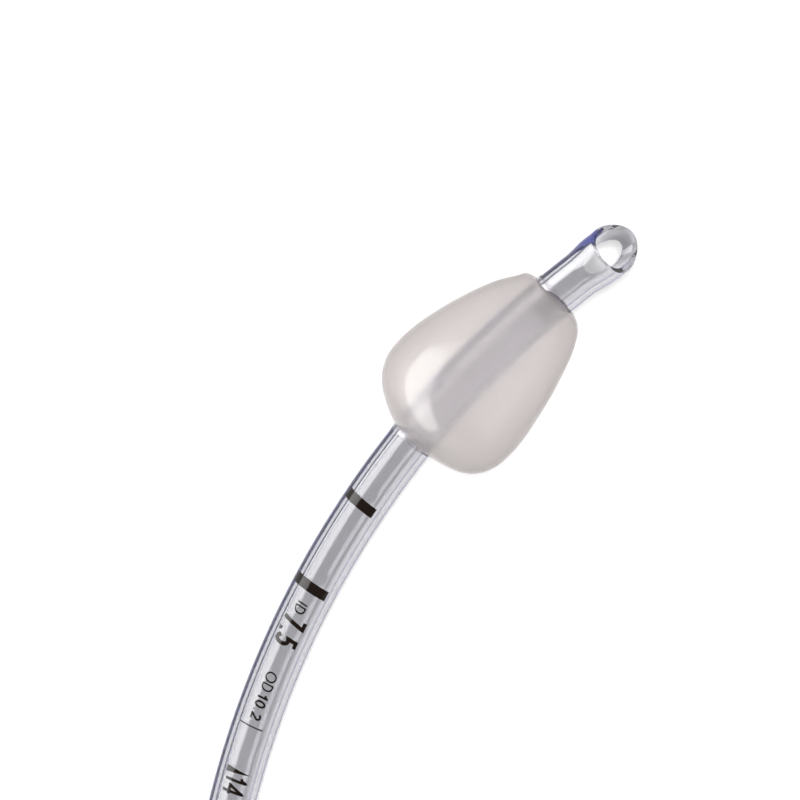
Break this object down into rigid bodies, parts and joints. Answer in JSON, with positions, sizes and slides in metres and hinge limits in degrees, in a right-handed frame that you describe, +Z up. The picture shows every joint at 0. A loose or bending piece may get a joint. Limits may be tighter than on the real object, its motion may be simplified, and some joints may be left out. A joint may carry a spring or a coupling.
{
  "type": "cuffed endotracheal tube",
  "caption": "Clear curved breathing tube with a tapered frosted cuff, a bevelled tip with a side eye, plain size marks and a conical plastic connector at its machine end.",
  "frame": {"origin": "centre of the base of the whole tube's box as it lies at rest", "axes": "+Z up, +Y from the machine end's connector to the tip along the longest side, the bend's outside towards -X"},
  "size_m": [0.1924, 0.2522, 0.035],
  "materials": {
    "clear_pvc": "clear, glossy, slightly blue in depth",
    "cuff_film": "frosted translucent film",
    "connector_plastic": "pale translucent moulding, satin",
    "stripe_blue": "navy blue line inside the clear wall",
    "print_ink": "black ink with a slight shine"
  },
  "bodies": {
    "root": {"tube_shaft": "clear_pvc", "cuff": "cuff_film", "connector": "connector_plastic"}
  },
  "joints": []
}
